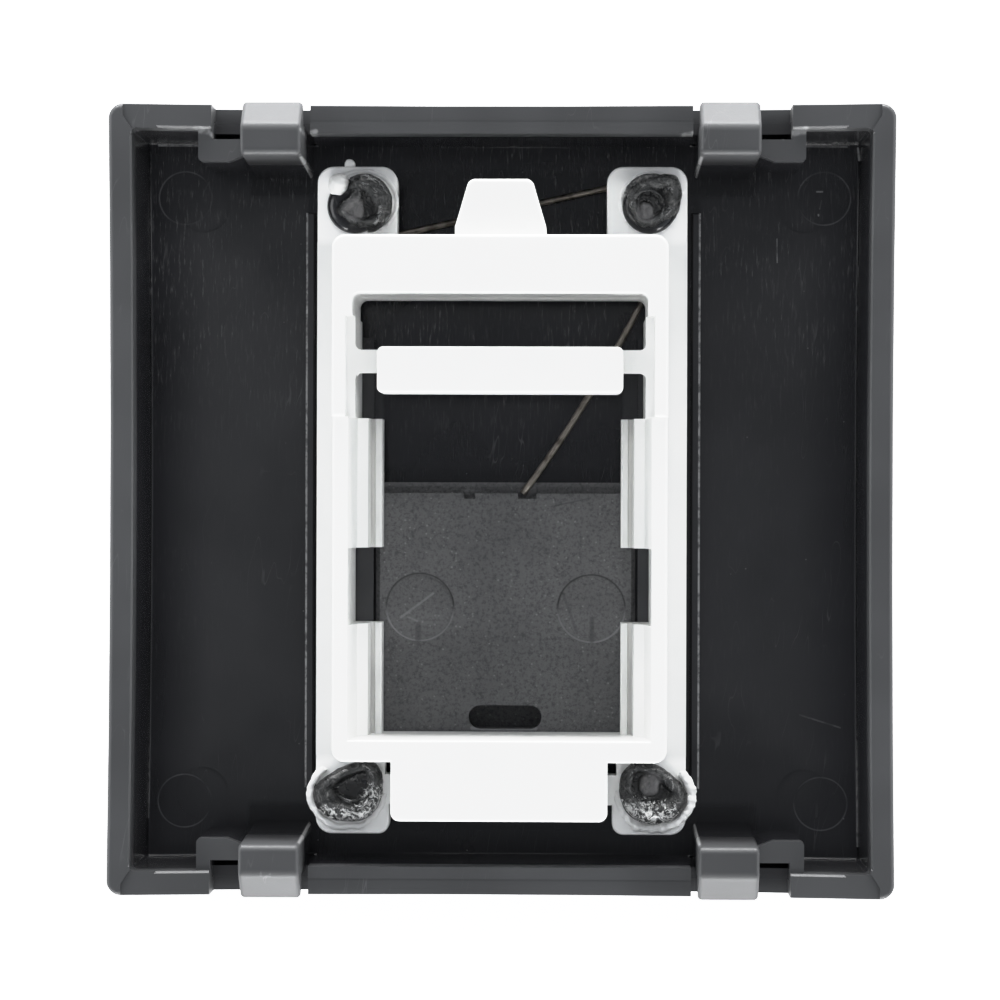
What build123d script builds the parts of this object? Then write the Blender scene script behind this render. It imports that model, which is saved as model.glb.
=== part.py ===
from build123d import *
import math
import os

# Rear side of a 45 mm keystone data faceplate with a sprung dust shutter, in millimetres.
# The plate lies on its front face: X runs across it, Y up it, and Z out of its open back.
# The origin is the centre of the front face.

os.makedirs("parts", exist_ok=True)

# Plate walls
plate_width = 45.32
plate_height = 45.65
side_bow = 0.17
plate_depth = 9.0
front_wall = 2.0
side_wall = 1.36
end_wall = 1.4
centre_wall = 1.78
centre_wall_length = 22.0
wall_draft = 1.0
plate_corner_radius = 0.85
cavity_corner_radius = 0.3
front_edge_radius = 0.5
rim_edge_radius = 0.3
cavity_edge = 0.1
floor_edge_radius = 0.14

# Parting steps: between the corners the rims of the end walls lie a little lower
end_run_margin = 0.86
end_inner_margin = 1.31
end_drop = 0.12

# Snap clips on the top and bottom walls
clip_x = 13.05
clip_width = 3.45
clip_height = 11.5
clip_foot_margin = 3.72
clip_inner_margin = 3.27
clip_ridge_margin = 1.57
clip_outer_margin = 1.42
clip_nose_margin = 0.1
clip_nose_z = 10.0
clip_nose_lip = 0.4
clip_hook_z = 9.35
clip_top_radius = 0.42
clip_ridge_radius = 0.7
clip_nose_radius = 0.15
clip_side_radius = 0.25
clip_gap = 0.33
notch_level = 6.4
notch_end = 16.7

# Jogged web from each clip to the outer wall
web_end = 17.5
web_inner_margin = 3.3
web_outer_margin = 2.04
web_clip_margin = 2.82
web_height = 8.4
web_corner_radius = 0.25

# Long ribs on the floor
rib_x = 11.42
rib_width = 0.55
rib_end_margin = 5.78
rib_height = 1.2
rib_edge = 0.1

# Stake posts with melted heads
post_x = 8.6
post_y = 17.15
boss_radius = 1.6
pin_radius = 1.0
stake_clearance = 0.05
head_radius = 1.6
head_height = 0.6
head_crest_radius = 0.95
head_dimple = 0.2

# Marks left by the ejector pins
ejector_radius = 1.55
ejector_depth = 0.08
ejector_corner_x = 17.9
ejector_corner_y = 17.5
ejector_centre_x = 4.35
ejector_centre_y = 18.2

# Shutter and the way it slides in, a little to the right of the middle
slide_x = 0.2
shutter_width = 15.34
shutter_bottom = -14.5
shutter_top = 1.07
shutter_thickness = 1.5
shutter_lift = 0.05
shutter_travel = 12.0
shutter_edge_chamfer = 0.25
shutter_corner_radius = 0.3
shutter_strip_width = 0.65
shutter_strip_height = 0.95
seat_notch_x = 1.47
seat_notch_width = 1.1
spare_notch_x = -1.94
spare_notch_width = 0.65
seat_notch_depth = 0.32
shutter_mark_radius = 2.0
shutter_mark_depth = 0.07
shutter_mark_x = 5.1
shutter_mark_y = -6.4
grip_y = -12.8
grip_length = 5.2
grip_width = 2.3
grip_height = 1.1
grip_wall = 0.45
grip_floor = 0.5
slide_clearance = 0.13

# Jack window and the rails beside it
window_width = 14.0
grip_gap = 0.15
travel_gap = 0.05
window_corner_radius = 0.3
window_chamfer = 0.3
rail_width = 1.0
rail_height = 1.6
rail_top_y = 9.6
stop_clearance = 0.1

# Keystone holder levels, measured from the plate's front face
rail_gap = 0.1
ear_bottom = 4.5
flange_top = 6.0
lower_frame_top = 10.8
frame_top = 11.5

# Keystone holder in plan
ear_side_margin = 2.19
ear_inner_margin = 2.49
ear_end_margin = 2.32
lower_ear_inner_margin = 2.1
top_ear_radius = 0.95
bottom_ear_radius = 0.95
bottom_ear_inner_radius = 0.65
ear_edge_radius = 0.1
ear_slit_width = 0.58
ear_slit_length = 1.1
ear_edge_start = 16.5
frame_width = 19.06
frame_top_y = 15.07
frame_bottom_y = -14.9
frame_corner_radius = 0.75
bay_top_y = 11.77
bay_bottom_y = -13.65
bay_step_y = 4.75
upper_bay_width = 16.8
leaf_bay_width = 16.6
lower_bay_width = 17.3
bay_corner_radius = 0.45
frame_edge_radius = 0.2
bay_edge_radius = 0.12
leaf_outer_width = 17.6
leaf_top_y = 10.5
leaf_top_z = 9.8

# Torsion crossbar and its necks
crossbar_length = 14.0
crossbar_bottom_y = 6.1
crossbar_top_y = 8.75
crossbar_bottom_z = 8.2
crossbar_top_z = 11.0
crossbar_radius = 0.35
crossbar_edge_radius = 0.22
neck_bottom_y = 7.3
neck_top_y = 8.6
neck_bottom_z = 8.6
neck_fillet = 0.35

# Stepped guide ledges beside the bay
jack_gap = 13.96
ledge_top_z = 5.65
ledge_groove_z = 5.3
ledge_step_low_z = 7.1
ledge_step_high_z = 7.6
ledge_lip_width = 0.38
ledge_groove_width = 0.27
ledge_step_width = 0.67
ledge_edge = 0.08
upper_ledge_bottom_y = -2.75
lower_ledge_top_y = -7.15
lower_ledge_bottom_y = -13.7

# Hook tab above the frame and block below it
hook_base_width = 5.2
hook_end_width = 3.6
hook_end_y = 18.3
hook_bottom_z = 4.9
hook_top_z = 10.6
hook_radius = 0.5
hook_edge_radius = 0.2
block_width = 12.34
block_bottom_y = -18.26
block_corner_radius = 0.5

# Torsion spring
wire_radius = 0.2
coil_radius = 1.95
coil_turns = 2
spring_clearance = 0.02
short_leg_end = 1.0
long_leg_angle = -23.5
tip_lift = 0.3

# Sizes that follow from the ones above
plate_half_x = plate_width / 2
plate_half_y = plate_height / 2
clip_foot_y = plate_half_y - clip_foot_margin
clip_inner_y = plate_half_y - clip_inner_margin
clip_ridge_y = plate_half_y - clip_ridge_margin
clip_outer_y = plate_half_y - clip_outer_margin
clip_nose_y = plate_half_y - clip_nose_margin
web_inner_y = plate_half_y - web_inner_margin
web_outer_y = plate_half_y - web_outer_margin
web_clip_y = plate_half_y - web_clip_margin
cavity_half_x = plate_half_x - side_wall
cavity_half_y = plate_half_y - end_wall
end_rim_z = plate_depth - end_drop
end_run = plate_width - 2 * end_run_margin
end_run_inner = plate_width - 2 * end_inner_margin
rib_length = 2 * (plate_half_y - rib_end_margin)
shutter_bottom_z = front_wall + shutter_lift
shutter_top_z = shutter_bottom_z + shutter_thickness
strip_top_z = shutter_bottom_z + shutter_strip_height
rail_top_z = front_wall + rail_height
holder_bottom_z = rail_top_z + rail_gap
rail_inner_x = shutter_width / 2 + slide_clearance
rail_outer_x = rail_inner_x + rail_width
stop_top_y = shutter_bottom - stop_clearance
window_bottom = grip_y - grip_width / 2 - grip_gap
window_top = grip_y + grip_width / 2 + shutter_travel + travel_gap
clip_side_in = clip_x - clip_width / 2
clip_side_out = clip_x + clip_width / 2
wall_root = 0.3
through = 1.0
corners = [(side_x, side_y) for side_x in (-1, 1) for side_y in (-1, 1)]
post_places = [(side_x * post_x, side_y * post_y) for side_x, side_y in corners]


def bowed_sides(half_x, half_y, bow):
    # The outline of a rectangle whose four sides curve inwards by the bow at their middles
    with BuildLine() as sides:
        ThreePointArc((-half_x, -half_y), (0, bow - half_y), (half_x, -half_y))
        ThreePointArc((half_x, -half_y), (half_x - bow, 0), (half_x, half_y))
        ThreePointArc((half_x, half_y), (0, half_y - bow), (-half_x, half_y))
        ThreePointArc((-half_x, half_y), (bow - half_x, 0), (-half_x, -half_y))
    return sides.edges()


def span(x_low, x_high, y_low, y_high, mode=Mode.ADD):
    # A rectangle given by its four limits
    with Locations(((x_low + x_high) / 2, (y_low + y_high) / 2)):
        Rectangle(x_high - x_low, y_high - y_low, mode=mode)


# One snap clip, at the upper right corner: a tab with a hooked, sloping nose
with BuildPart() as clip:
    with BuildSketch(Plane.YZ.offset(clip_side_in)) as clip_profile:
        with BuildLine():
            Polyline(
                (clip_foot_y, front_wall - wall_root),
                (clip_inner_y, clip_height),
                (clip_ridge_y, clip_height),
                (clip_nose_y, clip_nose_z),
                (clip_nose_y, clip_nose_z - clip_nose_lip),
                (clip_outer_y, clip_hook_z),
                (clip_outer_y, front_wall - wall_root),
                close=True,
            )
        make_face()
        fillet(clip_profile.vertices().group_by(Axis.Y)[-1].sort_by(Axis.X)[0], clip_top_radius)
        fillet(clip_profile.vertices().group_by(Axis.Y)[-1].sort_by(Axis.X)[-1], clip_ridge_radius)
        fillet(clip_profile.vertices().group_by(Axis.X)[-1], clip_nose_radius)
    extrude(amount=clip_width)
    side_edges = clip.faces().sort_by(Axis.X)[0].edges() + clip.faces().sort_by(Axis.X)[-1].edges()
    fillet(side_edges.filter_by(lambda edge: edge.center().Z > notch_level), clip_side_radius)

# One jogged web, at the upper right corner, from the clip out to the wall
with BuildPart() as web:
    with BuildSketch(Plane.XY.offset(front_wall - wall_root)) as web_plan:
        with BuildLine():
            Polyline(
                (clip_side_out - wall_root, web_outer_y),
                (notch_end, web_outer_y),
                (notch_end, plate_half_y - end_wall + wall_root),
                (web_end, plate_half_y - end_wall + wall_root),
                (web_end, web_inner_y),
                ((notch_end + clip_side_out) / 2, web_inner_y),
                (clip_side_out - wall_root, web_clip_y),
                close=True,
            )
        make_face()
        fillet(web_plan.vertices().group_by(Axis.Y)[0].sort_by(Axis.X)[-1], web_corner_radius)
    extrude(amount=web_height - front_wall + wall_root)

# One melted stake: boss, pin and dimpled head, as a turned profile
with BuildPart() as stake:
    head_top = flange_top + head_height
    head_side = flange_top + head_height * 0.35
    with BuildSketch(Plane.XZ) as stake_profile:
        with BuildLine():
            Polyline(
                (head_crest_radius, head_top),
                (head_crest_radius / 3, head_top - head_dimple),
                (0, head_top - head_dimple),
                (0, front_wall - wall_root),
                (boss_radius, front_wall - wall_root),
                (boss_radius, ear_bottom),
                (pin_radius, ear_bottom),
                (pin_radius, flange_top),
                (head_radius, flange_top),
                (head_radius, head_side),
            )
            ThreePointArc(
                (head_radius, head_side),
                ((head_radius * 3 + head_crest_radius * 2) / 5, head_side + (head_top - head_side) * 0.77),
                (head_crest_radius, head_top),
            )
        make_face()
    revolve(axis=Axis.Z)

# The space inside the plate, as a solid that narrows towards the floor
with BuildPart() as cavity_core:
    with BuildSketch(Plane.XY.offset(plate_depth)) as cavity:
        make_face(bowed_sides(cavity_half_x, cavity_half_y, side_bow))
        fillet(cavity.vertices(), cavity_corner_radius)
    extrude(amount=front_wall - plate_depth, taper=wall_draft)
    fillet(cavity_core.faces().sort_by(Axis.Z)[0].edges(), floor_edge_radius)

with BuildPart() as faceplate:
    # Front wall and side walls, drafted open towards the back
    with BuildSketch() as outline:
        make_face(bowed_sides(plate_half_x, plate_half_y, side_bow))
        fillet(outline.vertices(), plate_corner_radius)
    extrude(amount=plate_depth)
    fillet(faceplate.edges().group_by(Axis.Z)[0], front_edge_radius)
    fillet(faceplate.edges().group_by(Axis.Z)[-1], rim_edge_radius)

    # Lower rims of the end walls, between the parting steps
    with BuildSketch(Plane.XY.offset(end_rim_z)):
        for side in (-1, 1):
            with BuildLine():
                Polyline(
                    (-end_run / 2, side * (plate_half_y + through)),
                    (-end_run / 2, side * (cavity_half_y + end_wall / 2)),
                    (-end_run_inner / 2, side * cavity_half_y),
                    (end_wall - end_run_inner / 2, side * (cavity_half_y - end_wall)),
                    (end_run_inner / 2 - end_wall, side * (cavity_half_y - end_wall)),
                    (end_run_inner / 2, side * cavity_half_y),
                    (end_run / 2, side * (cavity_half_y + end_wall / 2)),
                    (end_run / 2, side * (plate_half_y + through)),
                    close=True,
                )
            make_face()
    extrude(amount=through, mode=Mode.SUBTRACT)

    # Cavity, with its rims eased
    add(cavity_core.part, mode=Mode.SUBTRACT)
    for easing_z, easing_half_x, easing_half_y in (
        (plate_depth, cavity_half_x + cavity_edge, cavity_half_y - cavity_corner_radius),
        (end_rim_z, cavity_half_x - end_wall, cavity_half_y + cavity_edge),
    ):
        with BuildSketch(Plane.XY.offset(easing_z)):
            make_face(bowed_sides(easing_half_x, easing_half_y, side_bow))
        extrude(amount=-2 * cavity_edge, taper=45, mode=Mode.SUBTRACT)

    # Thicker middle stretches of the top and bottom walls
    with BuildSketch(Plane.XY.offset(front_wall - wall_root)):
        for side in (-1, 1):
            inner_y = side * (plate_half_y - centre_wall)
            outer_y = side * (plate_half_y - end_wall + wall_root)
            span(
                -centre_wall_length / 2,
                centre_wall_length / 2,
                min(inner_y, outer_y),
                max(inner_y, outer_y),
            )
    extrude(amount=plate_depth - front_wall + wall_root)

    # Lowered wall beside and behind each clip
    with BuildSketch(Plane.XY.offset(notch_level)):
        for side_x, side_y in corners:
            near, far = sorted((side_x * (clip_side_in - clip_gap), side_x * notch_end))
            low, high = sorted((side_y * web_outer_y, side_y * (plate_half_y + through)))
            span(near, far, low, high)
    extrude(amount=plate_depth, mode=Mode.SUBTRACT)

    # Clips and webs at the four corners
    for feature in (clip.part, web.part):
        right_pair = [feature, feature.mirror(Plane.XZ)]
        add(right_pair + [half.mirror(Plane.YZ) for half in right_pair])

    # Long ribs beside the holder
    with BuildSketch(Plane.XY.offset(front_wall)):
        with Locations((-rib_x, 0), (rib_x, 0)):
            Rectangle(rib_width, rib_length)
    extrude(amount=rib_height)
    rib_tops = faceplate.faces().filter_by(Axis.Z).filter_by(
        lambda face: abs(face.center().Z - front_wall - rib_height) < 0.01
    )
    chamfer(rib_tops.edges(), rib_edge)

    # Rails and bottom stop round the shutter
    with BuildSketch(Plane.XY.offset(front_wall)):
        with Locations((slide_x, 0)):
            span(-rail_outer_x, rail_outer_x, stop_top_y - rail_width, rail_top_y)
            span(-rail_inner_x, rail_inner_x, stop_top_y, rail_top_y + through, mode=Mode.SUBTRACT)
    extrude(amount=rail_height)

    # Jack window through the front wall
    with BuildSketch() as window:
        with Locations((slide_x, 0)):
            span(-window_width / 2, window_width / 2, window_bottom, window_top)
        fillet(window.vertices(), window_corner_radius)
    extrude(amount=front_wall, mode=Mode.SUBTRACT)
    window_edges = faceplate.faces().sort_by(Axis.Z)[0].inner_wires().edges()
    chamfer(window_edges, window_chamfer)

    # Ejector marks on the floor
    with BuildSketch(Plane.XY.offset(front_wall)):
        with Locations(*[(x * ejector_corner_x, y * ejector_corner_y) for x, y in corners]):
            Circle(ejector_radius)
        with Locations((-ejector_centre_x, ejector_centre_y), (ejector_centre_x, ejector_centre_y)):
            Circle(ejector_radius)
    extrude(amount=-ejector_depth, mode=Mode.SUBTRACT)

    # Stakes that hold the holder down
    with Locations(*post_places):
        add(stake.part)

with BuildPart() as keystone_holder:
    ear_side = post_x + ear_side_margin
    ear_end = post_y + ear_end_margin
    top_ear_in = post_x - ear_inner_margin
    bottom_ear_in = post_x - lower_ear_inner_margin
    block_half = block_width / 2

    # Ears, resting on the bosses
    with BuildSketch(Plane.XY.offset(ear_bottom)) as ears:
        span(-ear_side, ear_side, -ear_end, ear_end)
        span(-top_ear_in, top_ear_in, frame_top_y, ear_end + through, mode=Mode.SUBTRACT)
        span(-bottom_ear_in, bottom_ear_in, -ear_end - through, frame_bottom_y, mode=Mode.SUBTRACT)
        fillet(ears.vertices().group_by(Axis.Y)[-1], top_ear_radius)
        bottom_corners = ears.vertices().group_by(Axis.Y)[0].sort_by(Axis.X)
        fillet([bottom_corners[0], bottom_corners[-1]], bottom_ear_radius)
        bottom_corners = ears.vertices().group_by(Axis.Y)[0].sort_by(Axis.X)
        fillet(bottom_corners[1:3], bottom_ear_inner_radius)
    extrude(amount=flange_top - ear_bottom)

    # Bridges from the lower ears to the block, below a short slit
    with BuildSketch(Plane.XY.offset(ear_bottom)):
        for side in (-1, 1):
            near, far = sorted((side * (block_half - wall_root), side * (bottom_ear_in + wall_root)))
            span(near, far, block_bottom_y + block_corner_radius, frame_bottom_y - ear_slit_length)
    extrude(amount=flange_top - ear_bottom)
    with BuildSketch(Plane.XY.offset(ear_bottom)):
        for side in (-1, 1):
            near, far = sorted((side * block_half, side * (block_half + ear_slit_width)))
            span(near, far, frame_bottom_y - ear_slit_length, frame_bottom_y)
    extrude(amount=flange_top - ear_bottom, mode=Mode.SUBTRACT)
    ear_edges = keystone_holder.edges().group_by(Axis.Z)[-1].filter_by(
        lambda edge: abs(edge.center().X) > ear_side - top_ear_radius or abs(edge.center().Y) > ear_edge_start
    )
    fillet(ear_edges, ear_edge_radius)

    # Flanges beside the frame, down to just above the rails
    with BuildSketch(Plane.XY.offset(holder_bottom_z)):
        span(-ear_side, ear_side, frame_bottom_y, frame_top_y)
    extrude(amount=flange_top - holder_bottom_z)

    # Frame, lower beside the ledges than round the crossbar
    with BuildSketch(Plane.XY.offset(holder_bottom_z)) as lower_frame:
        span(-frame_width / 2, frame_width / 2, frame_bottom_y, frame_top_y)
        fillet(lower_frame.vertices(), frame_corner_radius)
    extrude(amount=lower_frame_top - holder_bottom_z)
    with BuildSketch(Plane.XY.offset(lower_frame_top)) as upper_frame:
        span(-frame_width / 2, frame_width / 2, bay_step_y, frame_top_y)
        fillet(upper_frame.vertices().group_by(Axis.Y)[-1], frame_corner_radius)
    extrude(amount=frame_top - lower_frame_top)

    # Block below the frame and hook tab above it
    with BuildSketch(Plane.XY.offset(holder_bottom_z)) as block:
        span(-block_width / 2, block_width / 2, block_bottom_y, frame_bottom_y + wall_root)
        fillet(block.vertices().group_by(Axis.Y)[0], block_corner_radius)
    extrude(amount=lower_frame_top - holder_bottom_z)
    with BuildSketch(Plane.XY.offset(hook_bottom_z)) as hook:
        with BuildLine():
            Polyline(
                (-hook_base_width / 2, frame_top_y - wall_root),
                (hook_base_width / 2, frame_top_y - wall_root),
                (hook_base_width / 2, frame_top_y + hook_radius),
                (hook_end_width / 2, hook_end_y),
                (-hook_end_width / 2, hook_end_y),
                (-hook_base_width / 2, frame_top_y + hook_radius),
                close=True,
            )
        make_face()
        fillet(hook.vertices().group_by(Axis.Y)[-1], hook_radius)
    extrude(amount=hook_top_z - hook_bottom_z)
    hook_edges = keystone_holder.edges().filter_by(
        lambda edge: math.isclose(edge.center().Z, hook_top_z, abs_tol=0.01)
        and edge.center().Y > frame_top_y + 0.1
    )
    fillet(hook_edges, hook_edge_radius)

    # Rounded upper edges, before the bay is cut
    frame_edges = keystone_holder.edges().filter_by(
        lambda edge: math.isclose(edge.center().Z, frame_top, abs_tol=0.01)
        or math.isclose(edge.center().Z, lower_frame_top, abs_tol=0.01)
        and not math.isclose(edge.center().Y, bay_step_y, abs_tol=0.01)
    )
    fillet(frame_edges, frame_edge_radius)

    # Bay for the jack, right through the frame
    with BuildSketch(Plane.XY.offset(holder_bottom_z)) as bay:
        span(-upper_bay_width / 2, upper_bay_width / 2, leaf_top_y, bay_top_y)
        span(-leaf_bay_width / 2, leaf_bay_width / 2, bay_step_y, leaf_top_y)
        span(-lower_bay_width / 2, lower_bay_width / 2, bay_bottom_y, bay_step_y)
        fillet(bay.vertices().group_by(Axis.Y)[-1], bay_corner_radius)
    extrude(amount=frame_top, mode=Mode.SUBTRACT)
    bay_edges = keystone_holder.edges().filter_by(
        lambda edge: edge.center().Z > lower_frame_top - 0.01
        and (
            leaf_top_y + 0.1 < edge.center().Y < bay_top_y + 0.01
            or math.isclose(edge.center().Y, bay_bottom_y, abs_tol=0.01)
        )
        and abs(edge.center().X) < upper_bay_width / 2 + 0.01
    )
    fillet(bay_edges, bay_edge_radius)

    # Inner leaves of the side bars, lower than their tops, which carry the necks
    with BuildSketch(Plane.XY.offset(leaf_top_z)):
        span(-leaf_outer_width / 2, leaf_outer_width / 2, bay_step_y, leaf_top_y)
    extrude(amount=frame_top, mode=Mode.SUBTRACT)

    # Torsion crossbar on two thin necks
    with BuildSketch(Plane.XY.offset(neck_bottom_z)):
        span(-leaf_bay_width / 2 - wall_root, leaf_bay_width / 2 + wall_root, neck_bottom_y, neck_top_y)
    extrude(amount=leaf_top_z - neck_bottom_z)
    leaf_face = keystone_holder.edges().filter_by(Axis.Z).filter_by(
        lambda edge: math.isclose(abs(edge.center().X), leaf_bay_width / 2, abs_tol=0.01)
    )
    neck_roots = leaf_face.filter_by(
        lambda edge: neck_bottom_z < edge.center().Z < leaf_top_z
        and neck_bottom_y - 0.01 < edge.center().Y < neck_top_y + 0.01
    )
    fillet(neck_roots, neck_fillet)
    with BuildSketch(Plane.XY.offset(crossbar_bottom_z)) as crossbar:
        span(-crossbar_length / 2, crossbar_length / 2, crossbar_bottom_y, crossbar_top_y)
        fillet(crossbar.vertices(), crossbar_radius)
    extrude(amount=crossbar_top_z - crossbar_bottom_z)
    crossbar_edges = keystone_holder.edges().filter_by(
        lambda edge: math.isclose(edge.center().Z, crossbar_top_z, abs_tol=0.01)
    )
    fillet(crossbar_edges, crossbar_edge_radius)

    # Stepped guide ledges, two on each side of the bay
    ledge_lip_x = jack_gap / 2 + ledge_lip_width
    ledge_groove_x = ledge_lip_x + ledge_groove_width
    ledge_step_x = ledge_groove_x + ledge_step_width
    ledge_root_x = lower_bay_width / 2 + wall_root
    for high_y, low_y in (
        (bay_step_y, upper_ledge_bottom_y),
        (lower_ledge_top_y, lower_ledge_bottom_y),
    ):
        with BuildSketch(Plane.XZ.offset(-high_y)) as ledge:
            for side in (-1, 1):
                with BuildLine():
                    Polyline(
                        (side * ledge_root_x, holder_bottom_z),
                        (side * jack_gap / 2, holder_bottom_z),
                        (side * jack_gap / 2, ledge_top_z - ledge_edge),
                        (side * (jack_gap / 2 + ledge_edge), ledge_top_z),
                        (side * ledge_lip_x, ledge_top_z),
                        (side * (ledge_lip_x + ledge_edge), ledge_groove_z),
                        (side * ledge_groove_x, ledge_groove_z),
                        (side * (ledge_groove_x + ledge_edge), ledge_step_low_z),
                        (side * ledge_step_x, ledge_step_high_z),
                        (side * lower_bay_width / 2, lower_frame_top),
                        (side * ledge_root_x, lower_frame_top),
                        close=True,
                    )
                make_face()
        extrude(amount=high_y - low_y)

    # Holes for the stakes
    with Locations(*[(x, y, flange_top) for x, y in post_places]):
        Hole(pin_radius + stake_clearance, depth=flange_top - ear_bottom)

with BuildPart() as shutter:
    # Blade, with a lower strip along its top edge and two notches behind that strip
    with BuildSketch(Plane.XY.offset(shutter_bottom_z)) as blade:
        with Locations((slide_x, 0)):
            span(-shutter_width / 2, shutter_width / 2, shutter_bottom, shutter_top)
        fillet(blade.vertices(), shutter_corner_radius)
    extrude(amount=shutter_thickness)
    lower_edges = shutter.faces().sort_by(Axis.Y)[0].edges().filter_by(Axis.X)
    chamfer(lower_edges.sort_by(Axis.Z)[-1], shutter_edge_chamfer)
    with BuildSketch(Plane.XY.offset(strip_top_z)):
        span(-shutter_width, shutter_width, shutter_top - shutter_strip_width, shutter_top + through)
        for notch_x, notch_width in (
            (seat_notch_x, seat_notch_width),
            (spare_notch_x, spare_notch_width),
        ):
            span(
                notch_x - notch_width / 2,
                notch_x + notch_width / 2,
                shutter_top - shutter_strip_width - seat_notch_depth,
                shutter_top,
            )
    extrude(amount=shutter_thickness, mode=Mode.SUBTRACT)

    # Finger grip on the front, cored from behind
    with BuildSketch(Plane.XY.offset(shutter_bottom_z)):
        with Locations((slide_x, grip_y)):
            SlotOverall(grip_length, grip_width)
    extrude(amount=-grip_height)
    with BuildSketch(Plane.XY.offset(shutter_top_z)):
        with Locations((slide_x, grip_y)):
            SlotOverall(grip_length - 2 * grip_wall, grip_width - 2 * grip_wall)
    extrude(amount=grip_floor - grip_height - shutter_thickness, mode=Mode.SUBTRACT)

    # Ejector marks
    with BuildSketch(Plane.XY.offset(shutter_top_z)):
        with Locations(*[(slide_x + side * shutter_mark_x, shutter_mark_y) for side in (-1, 1)]):
            Circle(shutter_mark_radius)
    extrude(amount=-shutter_mark_depth, mode=Mode.SUBTRACT)

# Torsion spring: short leg under the left post, coil round the right one, long leg to the shutter
short_leg_slope = math.asin(
    (coil_radius + boss_radius + wire_radius + spring_clearance) / (2 * post_x)
)
short_leg_z = front_wall + wire_radius + spring_clearance
long_leg_z = strip_top_z + wire_radius + spring_clearance
coil_start_angle = 90 + math.degrees(short_leg_slope)
coil_sweep = coil_start_angle - long_leg_angle + 360 * coil_turns
short_leg_length = 2 * post_x * math.cos(short_leg_slope) + short_leg_end
short_leg_direction = Vector(-1, 0, 0).rotate(Axis.Z, math.degrees(short_leg_slope))
seat_y = shutter_top - shutter_strip_width - seat_notch_depth + tip_lift
long_leg_tip = Vector(seat_notch_x - seat_notch_width / 4, seat_y, long_leg_z)

with BuildPart() as shutter_spring:
    with BuildLine() as coil_path:
        Helix(
            pitch=(long_leg_z - short_leg_z) * 360 / coil_sweep,
            height=long_leg_z - short_leg_z,
            radius=coil_radius,
            center=(post_x, post_y, short_leg_z),
            lefthand=True,
        )
    coil = coil_path.edge().rotate(Axis((post_x, post_y, 0), (0, 0, 1)), coil_start_angle)
    leaving = coil % 1
    with BuildLine() as wire_path:
        Line(coil @ 0 + short_leg_direction * short_leg_length, coil @ 0)
        add(coil)
        TangentArc(coil @ 1, long_leg_tip, tangent=(leaving.X, leaving.Y, 0))
    spring_wire = wire_path.wire()
    with BuildSketch(Plane(origin=spring_wire @ 0, z_dir=spring_wire % 0)):
        Circle(wire_radius)
    sweep(path=spring_wire)

for name, piece in (
    ("faceplate", faceplate),
    ("keystone_holder", keystone_holder),
    ("shutter", shutter),
    ("shutter_spring", shutter_spring),
):
    piece.part.label = name

export_step(faceplate.part, "parts/faceplate.step")
export_step(keystone_holder.part, "parts/keystone_holder.step")
export_step(shutter.part, "parts/shutter.step")
export_step(shutter_spring.part, "parts/shutter_spring.step")
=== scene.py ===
import math

import bmesh
import bpy
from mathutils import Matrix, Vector


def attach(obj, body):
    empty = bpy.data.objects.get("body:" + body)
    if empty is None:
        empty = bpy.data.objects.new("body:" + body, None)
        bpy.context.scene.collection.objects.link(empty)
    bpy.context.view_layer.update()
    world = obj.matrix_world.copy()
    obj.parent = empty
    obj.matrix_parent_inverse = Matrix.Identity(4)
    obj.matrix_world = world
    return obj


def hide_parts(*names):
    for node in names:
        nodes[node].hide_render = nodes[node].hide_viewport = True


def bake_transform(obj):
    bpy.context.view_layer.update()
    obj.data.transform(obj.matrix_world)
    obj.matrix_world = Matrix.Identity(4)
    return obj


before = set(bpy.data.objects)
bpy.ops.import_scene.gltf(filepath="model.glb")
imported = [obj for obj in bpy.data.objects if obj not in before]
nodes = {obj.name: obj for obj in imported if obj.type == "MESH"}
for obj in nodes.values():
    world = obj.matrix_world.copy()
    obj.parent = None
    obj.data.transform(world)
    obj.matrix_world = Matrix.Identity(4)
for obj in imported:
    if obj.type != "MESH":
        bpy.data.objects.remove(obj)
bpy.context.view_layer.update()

mm = 0.001
scene = bpy.context.scene


def clearSelection():
    if bpy.context.object and bpy.context.object.mode != "OBJECT":
        bpy.ops.object.mode_set(mode="OBJECT")
    bpy.ops.object.select_all(action="DESELECT")


def report(stage):
    print("stage:", stage)


# Camera, where the photograph was taken from
cameraSetup = {
    "place": (3.87 * mm, 0.08 * mm, 188.77 * mm),
    "turn": (-0.012, 1.239, 0.172),  # degrees about X, Y and Z
    "focalPixels": 3134.8,
    "framePixels": 1000,
    "sensor": 36.0,
    "clip": (0.01, 20),
}


def placeCamera(setup):
    clearSelection()
    turn = [math.radians(angle) for angle in setup["turn"]]
    bpy.ops.object.camera_add(location=setup["place"], rotation=turn)
    camera = bpy.context.object
    camera.name = "rearCamera"
    camera.data.sensor_width = setup["sensor"]
    camera.data.lens = setup["focalPixels"] * setup["sensor"] / setup["framePixels"]
    camera.data.clip_start, camera.data.clip_end = setup["clip"]
    scene.camera = camera


placeCamera(cameraSetup)
report("camera")

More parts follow.
